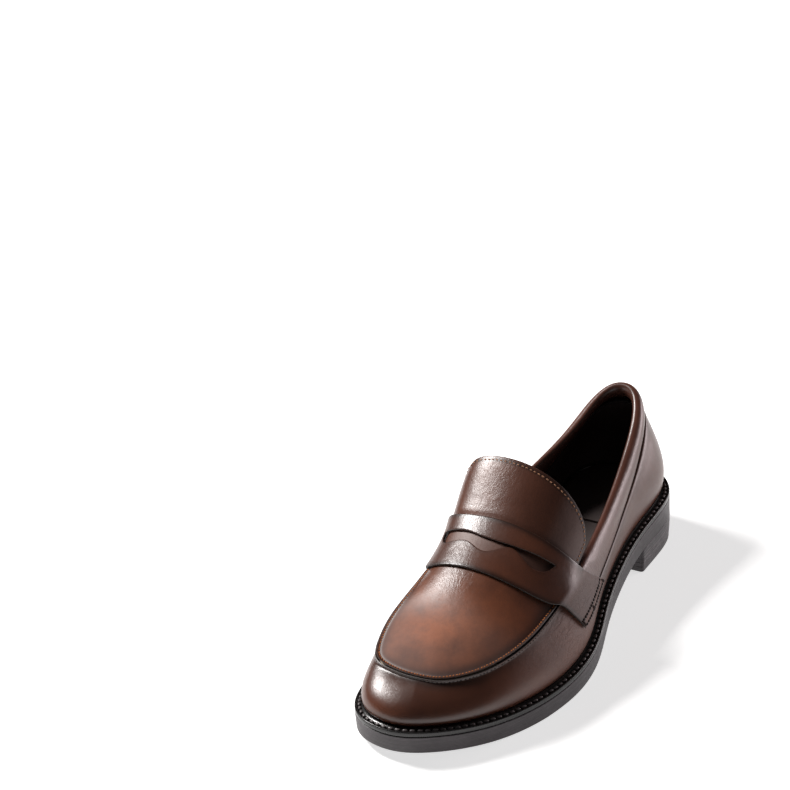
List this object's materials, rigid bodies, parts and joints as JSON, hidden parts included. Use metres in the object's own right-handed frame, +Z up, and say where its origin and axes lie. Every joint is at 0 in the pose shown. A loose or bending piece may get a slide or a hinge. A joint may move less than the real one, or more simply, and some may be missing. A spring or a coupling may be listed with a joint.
{
  "type": "penny loafer",
  "caption": "Left leather loafer with raised apron seam, slotted saddle strap, short tongue, padded collar and low block heel.",
  "frame": {"origin": "centre of the shoe's bounding box, on the ground under the sole", "axes": "+Z up, toe towards -Y, heel towards +Y, outer (lateral) side towards +X"},
  "size_m": [0.099, 0.264, 0.0958],
  "materials": {
    "outsole": "satin near-black brown",
    "stack": "satin, fine horizontal lines",
    "welt": "glossy black",
    "thread_dark": "waxed dark thread",
    "thread_brown": "waxed orange-brown thread",
    "leather": "polished smooth, burnished edges",
    "leather_dark": "polished smooth, padded",
    "lining": "matt lining leather",
    "board": "pressed fibre board",
    "cork": "cork",
    "steel": "plain sprung strip",
    "stiffener": "impregnated stiffener sheet"
  },
  "bodies": {
    "shoe": {"outsole": "outsole", "cork_filler": "cork", "shank_board": "board", "shank": "steel", "insole_board": "board", "sock_liner": "lining", "heel_pad": "lining", "welt": "welt", "welt_stitch": "thread_dark", "heel_lift_lower": "stack", "heel_lift_middle": "stack", "heel_lift_upper": "stack", "heel_top_piece": "outsole", "side_wall": "leather", "apron": "leather", "apron_seam_thread": "thread_brown", "vamp_lining": "lining", "toe_puff": "stiffener", "quarter_lining": "lining", "heel_counter": "stiffener", "collar_band": "leather_dark", "collar_stitch": "thread_dark", "back_strip": "leather", "back_strip_stitch": "thread_dark", "saddle_strap": "leather", "strap_stitch_lateral": "thread_brown", "strap_stitch_medial": "thread_brown"},
    "tongue_flap": {"tongue": "leather", "tongue_lining": "lining", "tongue_stitch": "thread_brown"}
  },
  "joints": [
    {"name": "tongue_flex", "type": "hinge", "parent": "shoe", "child": "tongue_flap", "pos_m": [-0.00016, -0.0126, 0.075], "axis": [1, 0, 0], "range_deg": [-8, 20], "stiffness_Nm_per_rad": 0.15}
  ]
}
